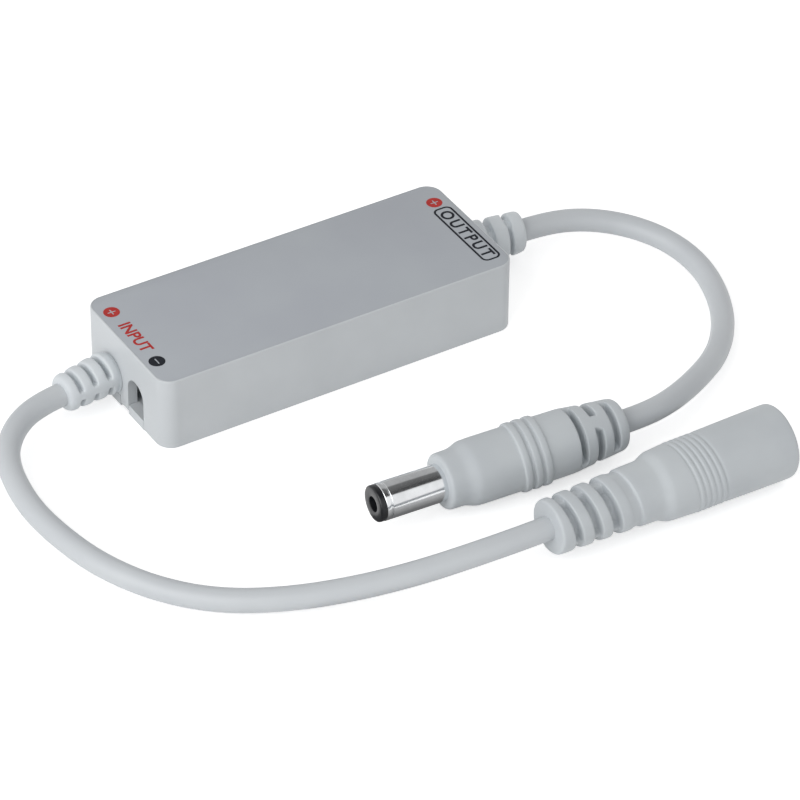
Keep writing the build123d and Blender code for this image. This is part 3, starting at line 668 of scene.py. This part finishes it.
arms = [(ink["armLength"], ink["armWidth"]), (ink["armWidth"], ink["armLength"])]
dash = [(ink["dashWidth"], ink["dashLength"])]
inkDisc("inputPlusMark", *ink["inputPlus"], arms, redInk)
inkDisc("inputMinusMark", *ink["inputMinus"], dash, blackInk)
inkDisc("outputPlusMark", *ink["outputPlus"], arms, redInk)
inkWord("inputWord", redInk, **ink["inputWord"])
inkWord("outputWord", blackInk, **ink["outputWord"])
clearSelection()
frameMiddle = (sum(ink["frameX"]) / 2, sum(ink["frameY"]) / 2, ink["level"])
bpy.ops.mesh.primitive_plane_add(size=1, location=frameMiddle)
wordFrame = bpy.context.object
wordFrame.scale = (ink["frameX"][1] - ink["frameX"][0], ink["frameY"][1] - ink["frameY"][0], 1)
bpy.ops.object.transform_apply()
editOnly(wordFrame)
bpy.ops.mesh.select_all(action="SELECT")
bpy.ops.mesh.bevel(
    offset=ink["frameCorner"], offset_type="OFFSET", segments=ink["frameSteps"], affect="VERTICES",
)
pick(wordFrame, "FACE", lambda f: True)
bpy.ops.mesh.inset(thickness=ink["frameLine"])
bpy.ops.mesh.delete(type="FACE")
bpy.ops.mesh.select_all(action="SELECT")
bpy.ops.mesh.extrude_region_move(TRANSFORM_OT_translate={"value": (0, 0, ink["thickness"])})
bpy.ops.mesh.select_all(action="SELECT")
bpy.ops.mesh.normals_make_consistent(inside=False)
putInPlace(wordFrame, "outputWordFrame")
finishPiece(wordFrame, blackInk)
print("film and print made")

# Boots: a neck and a flange in the outlet, a root disc on the wall and a slotted tail towards the lead
seat = {
    "sides": 64, "core": 1.0, "face": 1.9, "neck": 2.2, "neckStep": 0.04, "collar": 2.3,
    "backEdge": [(0, 0.3), (0.02, 0.06), (0.12, 0)],
    "footAt": (-0.75, 0, -1.42), "footSize": (1.48, 4.4, 2.76), "footEdge": 0.1,
    "flangeAt": (-2.1, 0, -0.15), "flangeSize": (1.19, 5.3, 5.3), "flangeEdge": 0.2, "edgeSteps": 2,
}


def bevelledBlock(centre, size, edge):
    clearSelection()
    bpy.ops.mesh.primitive_cube_add(size=1, location=centre, scale=size)
    block = bpy.context.object
    bpy.ops.object.transform_apply()
    applyModifier(block, "BEVEL", width=edge, segments=seat["edgeSteps"])
    return block


def leanRings(piece, lean):  # all rings lean while the axis stays: turn, stretch, turn back
    slope = math.tan(math.radians(lean))
    back = math.atan2(2, slope) / 2
    middle = math.hypot(1, slope / 2)
    piece.rotation_euler = (0, 0, back - math.pi / 2)
    bpy.ops.object.transform_apply()
    piece.scale = (middle + slope / 2, middle - slope / 2, 1)
    bpy.ops.object.transform_apply()
    piece.rotation_euler = (0, 0, back)
    bpy.ops.object.transform_apply()


def makeBoot(boot, nodes):
    rim, edge, length = boot["root"], boot["rootEdge"], boot["rootLength"]
    outline = [
        (-box["wall"], seat["core"]), (-box["wall"], seat["neck"]),
        (-seat["neckStep"], seat["neck"]), (0, seat["collar"]),
        *((along, rim - below) for along, below in seat["backEdge"]),
        (length - edge, rim), (length - rounding * edge, rim - rounding * edge), (length, rim - edge),
        (length, seat["face"]), (length, seat["core"]),
    ]
    root = turn(boot["name"], outline, seat["sides"])
    soften(root)
    uniteWith(root, bevelledBlock(seat["footAt"], seat["footSize"], seat["footEdge"]))
    uniteWith(root, bevelledBlock(seat["flangeAt"], seat["flangeSize"], seat["flangeEdge"]))
    selectOnly(root)
    root.rotation_euler = (0, 0, math.radians(boot["wallHeading"]))
    root.location = boot["wallAt"]
    bpy.ops.object.transform_apply()
    tail = turnSlotted("tail", boot["outline"], boot["slots"], seat["sides"])
    soften(tail)
    leanRings(tail, boot["lean"])
    tail.rotation_euler = (0, math.radians(boot["dip"]), math.radians(boot["heading"]))
    tail.location = boot["pivot"]
    bpy.ops.object.transform_apply()
    uniteWith(root, tail)
    putInPlace(root, boot["name"])
    smoothShade(root, crease["moulded"])
    finishPiece(root, bootVinyl, nodes)


inputSlot = {
    "width": 0.72, "edge": 0.3, "fillet": 0.15, "core": 1.65,
    "web": 10, "webWidth": 1.8, "sink": 0, "flare": 1,
}
inputBoot = {
    "name": "inputBoot", "wallAt": (-29.5, 3.4, 4.5), "wallHeading": 180,
    "root": 2.95, "rootLength": 0.5, "rootEdge": 0.2,
    "pivot": (-31.35, 3.4, 4.75), "heading": 187, "dip": 2, "lean": 0,
    "outline": [
        (-1.45, 1.0), *roundCorner((-1.45, 2.8), (-1.45, 3.15), (-0.45, 3.27)),
        *roundCorner((5.9, 2.89), (7.1, 2.86), (7.1, 2.0)), (7.1, 0.9),
    ],
    "slots": [dict(inputSlot, at=0.4), dict(inputSlot, at=2.78), dict(inputSlot, at=5.12)],
}
outputSlot = {
    "width": 0.6, "edge": 0.3, "fillet": 0.12, "core": 2.05,
    "web": 90, "webWidth": 3.1, "sink": 0.9, "flare": 1,
}
outputBoot = {
    "name": "outputBoot", "wallAt": (29.5, 3.4, 4.5), "wallHeading": 0,
    "root": 3.75, "rootLength": 0.8, "rootEdge": 0.3,
    "pivot": (30.75, 3.4, 4.58), "heading": -2, "dip": 0, "lean": 9,
    "outline": [
        (-1.0, 1.0), (-1.0, 2.6), (-0.96, 3.5), (1.0, 3.66), (1.9, 3.64),
        *roundCorner((8.3, 3.14), (9.1, 3.08), (9.1, 2.1)), (9.1, 0.9),
    ],
    "slots": [
        dict(outputSlot, at=-0.1), dict(outputSlot, at=3.1, web=135, width=1.1),
        dict(outputSlot, at=6.35, flare=1.6),
    ],
}
makeBoot(inputBoot, ["input_strain_relief"])
makeBoot(outputBoot, ["output_strain_relief"])
print("boots made")


# Connectors
def makeConnector(part, outline):
    piece = turnSlotted(part["name"], outline, part["slots"], part["sides"])
    for lean in part["leans"]:
        leanStations(piece, lean)
    soften(piece)
    putInPlace(piece, part["name"], part["start"], part["heading"])
    smoothShade(piece, crease["moulded"])
    return piece


# Jack: slotted tail, neck, flare, five fine rings and a plain barrel with an inner lip
jackSlot = {
    "edge": 0.24, "fillet": 0.2, "core": 2.6, "web": 57, "webWidth": 4.6, "sink": 0.65, "flare": 1,
}
jack = {
    "name": "jackBody", "start": (4.8, -59.6, 5.6), "heading": 0, "sides": 72,
    "slots": [
        dict(jackSlot, at=2.25, width=1.2), dict(jackSlot, at=5.33, width=1.3),
        dict(jackSlot, at=8.42, width=1.5),
    ],
    "tail": [(-0.3, 0.8), (-0.3, 1.9), *roundCorner((-0.3, 3.6), (-0.3, 4.08), (0.3, 4.08))],
    "neck": [
        (10.6, 4.35), (10.85, 4.32), (11.05, 4.25), (11.3, 4.2),
        (12.38, 4.02), (12.44, 4.2), (12.55, 4.39), (12.75, 4.45),
        *swell((15.75, 4.46), (18.0, 5.2)), (20.6, 5.34), (21.05, 5.37), (21.17, 5.36), (21.27, 5.29),
    ],
    "rings": [21.87, 22.79, 23.71, 24.63, 25.55], "ringBase": 5.29, "ringHeight": 0.15,
    "ringProfile": [(-0.34, 0), (-0.26, 0.75), (-0.14, 1), (0.14, 1), (0.26, 0.75), (0.34, 0)],
    "leans": [
        {"from": 0.9, "to": 12.9, "skin": 0.5, "tilt": 8.5, "swing": -1.9},
        {"from": 20.5, "to": 27.2, "skin": 4.5, "tilt": 8.0, "swing": -1.8},
    ],
    "mouth": [
        (26.1, 5.29), (26.24, 5.36), (26.4, 5.42), (27.0, 5.44), (31.0, 5.51),
        *roundCorner((37.5, 5.59), (38.3, 5.6), (38.3, 5.0)),
        *roundCorner((38.3, 3.75), (38.3, 3.3), (37.9, 3.3), 3),
        (37.1, 3.3), (37.0, 3.4), (37.0, 3.92), (36.9, 3.92), (24.4, 3.92), (24.35, 3.8), (24.35, 0.9),
    ],
}
jackOutline = jack["tail"] + jack["neck"] + ringRow(jack) + jack["mouth"]
jackPiece = makeConnector(jack, jackOutline)
finishPiece(jackPiece, softVinyl, ["jack_body"])
print("jack made")

# Plug: nose, shoulder, three rings and a slotted tail, with a metal barrel and a black tip
plugSlot = {
    "width": 1.1, "edge": 0.16, "fillet": 0.15, "core": 2.5,
    "web": 46, "webWidth": 4.1, "sink": 0, "flare": 1,
}
plugRow = {"width": 1.2, "web": 122, "webWidth": 2.7}
plug = {
    "name": "plugBody", "start": (-13.2, -42.35, 5.15), "heading": -3, "sides": 72,
    "slots": [dict(plugSlot, at=31.38), dict(plugSlot, at=34.28, **plugRow), dict(plugSlot, at=36.98)],
    "nose": [
        (16.75, 0.9), (16.75, 2.52), (10.48, 2.52), (10.4, 2.6), (10.4, 3.0),
        *roundCorner((10.4, 3.52), (10.4, 4.15), (11.1, 4.15)),
        *swell((12.7, 4.15), (15.3, 4.82)), (21.1, 4.78),
    ],
    "rings": [22.63, 24.25, 25.88], "ringBase": 4.78, "ringHeight": 0.36,
    "ringProfile": [
        (-0.66, 0), (-0.57, 0.15), (-0.52, 0.7), (-0.4, 0.98),
        (0.4, 0.98), (0.52, 0.7), (0.57, 0.15), (0.66, 0),
    ],
    "leans": [{"from": 21.0, "to": 27.0, "skin": 4.0, "tilt": 6.0, "swing": 5.0}],
    "rear": [
        (26.95, 4.77), (30.2, 4.76), (31.0, 4.72), (32.0, 4.58),
        *roundCorner((38.35, 3.92), (39.35, 3.85), (39.35, 3.0)), (39.35, 2.0), (39.35, 0.9),
    ],
}
plugOutline = plug["nose"] + ringRow(plug) + plug["rear"]
plugPiece = makeConnector(plug, plugOutline)
finishPiece(plugPiece, softVinyl, ["plug_body"])


def makeSleeve(part):  # a tube on the plug's axis
    piece = turnTube(part["name"], part["outline"], part["sides"])
    putInPlace(piece, part["name"], plug["start"], plug["heading"])
    smoothShade(piece, crease["moulded"])
    return piece


barrel = {
    "name": "plugBarrel", "sides": 128,
    "outline": [
        (0.82, 2.1), (0.82, 2.6), (0.84, 2.7), (0.92, 2.75),
        (1.54, 2.75), (1.6, 2.72), (1.62, 2.64), (1.74, 2.64), (1.76, 2.72), (1.82, 2.75),
        (10.6, 2.75), (10.74, 2.72), (10.76, 2.5), (16.75, 2.5), (16.75, 2.1), (0.82, 2.1),
    ],
}
barrelPiece = makeSleeve(barrel)
finishPiece(barrelPiece, nickelPlate, ["plug_barrel"])

tip = {
    "name": "plugTip", "sides": 96,
    "outline": [
        (2.2, 1.15), (0.05, 1.15), (-0.08, 1.18), (-0.12, 1.3),
        *roundCorner((-0.12, 2.34), (-0.12, 2.69), (0.24, 2.69), 3),
        (0.76, 2.69), (0.8, 2.66), (0.82, 2.5), (0.82, 2.08),
        (16.75, 2.08), (16.75, 1.57), (2.2, 1.57), (2.2, 1.15),
    ],
}
tipPiece = makeSleeve(tip)
finishPiece(tipPiece, blackInsulator, ["plug_tip_insulator"])
print("plug made")

# Floor, light, background and glowing cards that paint reflections, in metres
studio = {
    "floorSize": 6, "floorShade": (0.82, 0.82, 0.82), "floorTone": 0.01, "floorRoughness": 0.9,
    "fibreScale": 600, "fibreDetail": 3, "floorLift": 0.55, "ambient": 0.55, "aim": (0, -0.02, 0),
    "lamps": [
        {"name": "keyLamp", "at": (-0.75, -0.25, 0.45), "size": 0.8, "power": 5.0, "mirrored": True},
        {"name": "fillLamp", "at": (0.2, -0.9, 0.5), "size": 0.8, "power": 0.6, "mirrored": False},
        {"name": "backLamp", "at": (0.7, 0.5, 0.4), "size": 0.6, "power": 0.6, "mirrored": False},
    ],
    "reflectionCards": [
        # painted reflection: a glowing card overhead, seen only in mirrors, whose dark band (darkest at
        # its front edge) the barrel shows
        {
            "name": "paintedReflectionBand", "at": (0.4, 1.14, 0.5), "size": (1.3, 3.0),
            "shades": [(0, 0.06), (0.05, 0.07), (0.1, 0.14), (0.165, 0.17), (0.182, 0.46), (1, 0.48)],
        },
        # painted shadow: a glowing grey card on the floor that stands for the barrel's own shadow as its
        # metal reflects it
        {
            "name": "paintedShadowCard", "at": (0.005, -0.0495, 0.0004), "size": (0.07, 0.021),
            "shades": [(0, 0.52), (0.35, 0.47), (0.58, 0.29), (0.66, 0.18), (1, 0.15)],
        },
    ],
}


def addSeen(tree):  # 1 for what the camera or a mirror sees, 0 for the light that falls on things
    lightPath = tree.nodes.new("ShaderNodeLightPath")
    seen = lightPath.outputs["Is Camera Ray"]
    for kind in ("Is Glossy Ray", "Is Transmission Ray"):
        either = tree.nodes.new("ShaderNodeMath")
        either.operation = "MAXIMUM"
        tree.links.new(seen, either.inputs[0])
        tree.links.new(lightPath.outputs[kind], either.inputs[1])
        seen = either.outputs[0]
    return seen


clearSelection()
bpy.ops.mesh.primitive_plane_add(size=studio["floorSize"])
floor = bpy.context.object
floor.name = "studioFloor"
paper, tree, shader, place = startMaterial("floorPaper")
fibres = addNoise(tree, place, studio["fibreScale"], studio["fibreDetail"])
lighter = [v + studio["floorTone"] for v in studio["floorShade"]]
ramp = addRamp(
    tree, fibres.outputs["Fac"], pattern["cloudLow"], pattern["cloudHigh"], studio["floorShade"], lighter,
)
tree.links.new(ramp.outputs["Color"], shader.inputs["Base Color"])
shader.inputs["Roughness"].default_value = studio["floorRoughness"]
shader.inputs["Specular IOR Level"].default_value = 0
lift = addRange(tree, addSeen(tree), 0, studio["floorLift"])
shader.inputs["Emission Color"].default_value = (1, 1, 1, 1)
tree.links.new(lift.outputs["Result"], shader.inputs["Emission Strength"])
floor.data.materials.append(paper)


def makeReflectionCard(name, at, size, shades):  # seen only in mirrors: a glowing sheet whose shades along Y are a painted reflection that bands the metal
    clearSelection()
    bpy.ops.mesh.primitive_plane_add(size=1, location=at)
    card = bpy.context.object
    card.name = name
    card.scale = (*size, 1)
    bpy.ops.object.transform_apply()
    card.visible_camera = False
    card.visible_diffuse = False
    card.visible_shadow = False
    card.visible_transmission = False
    reflectionPaint, tree, shader, place = startMaterial(name + "ReflectionPaint")
    across = tree.nodes.new("ShaderNodeSeparateXYZ")
    tree.links.new(place.outputs["Generated"], across.inputs[0])
    ramp = addRamp(tree, across.outputs["Y"], 0, 1, [shades[0][1]] * 3, [shades[-1][1]] * 3)
    for position, shade in shades[1:-1]:
        ramp.color_ramp.elements.new(position).color = (shade, shade, shade, 1)
    # painted reflection: the card glows with its grey shades and has no colour of its own
    tree.links.new(ramp.outputs["Color"], shader.inputs["Emission Color"])
    shader.inputs["Base Color"].default_value = (0, 0, 0, 1)
    shader.inputs["Specular IOR Level"].default_value = 0
    shader.inputs["Emission Strength"].default_value = 1
    card.data.materials.append(reflectionPaint)
    return card


reflectionCards = [makeReflectionCard(**card) for card in studio["reflectionCards"]]

for lamp in studio["lamps"]:
    clearSelection()
    toObject = Vector(studio["aim"]) - Vector(lamp["at"])
    turned = toObject.to_track_quat("-Z", "Y").to_euler()
    bpy.ops.object.light_add(type="AREA", location=lamp["at"], rotation=turned)
    light = bpy.context.object
    light.name = lamp["name"]
    light.data.size = lamp["size"]
    light.data.energy = lamp["power"]
    light.visible_glossy = lamp["mirrored"]

world = bpy.data.worlds.new("studioWorld")
bpy.context.scene.world = world
world.use_nodes = True
tree = world.node_tree
backdrop = tree.nodes["Background"]
backdrop.inputs["Color"].default_value = (1, 1, 1, 1)
glow = addRange(tree, addSeen(tree), studio["ambient"], 1)
tree.links.new(glow.outputs["Result"], backdrop.inputs["Strength"])
bpy.context.scene.view_settings.view_transform = "Standard"
print("studio lit")
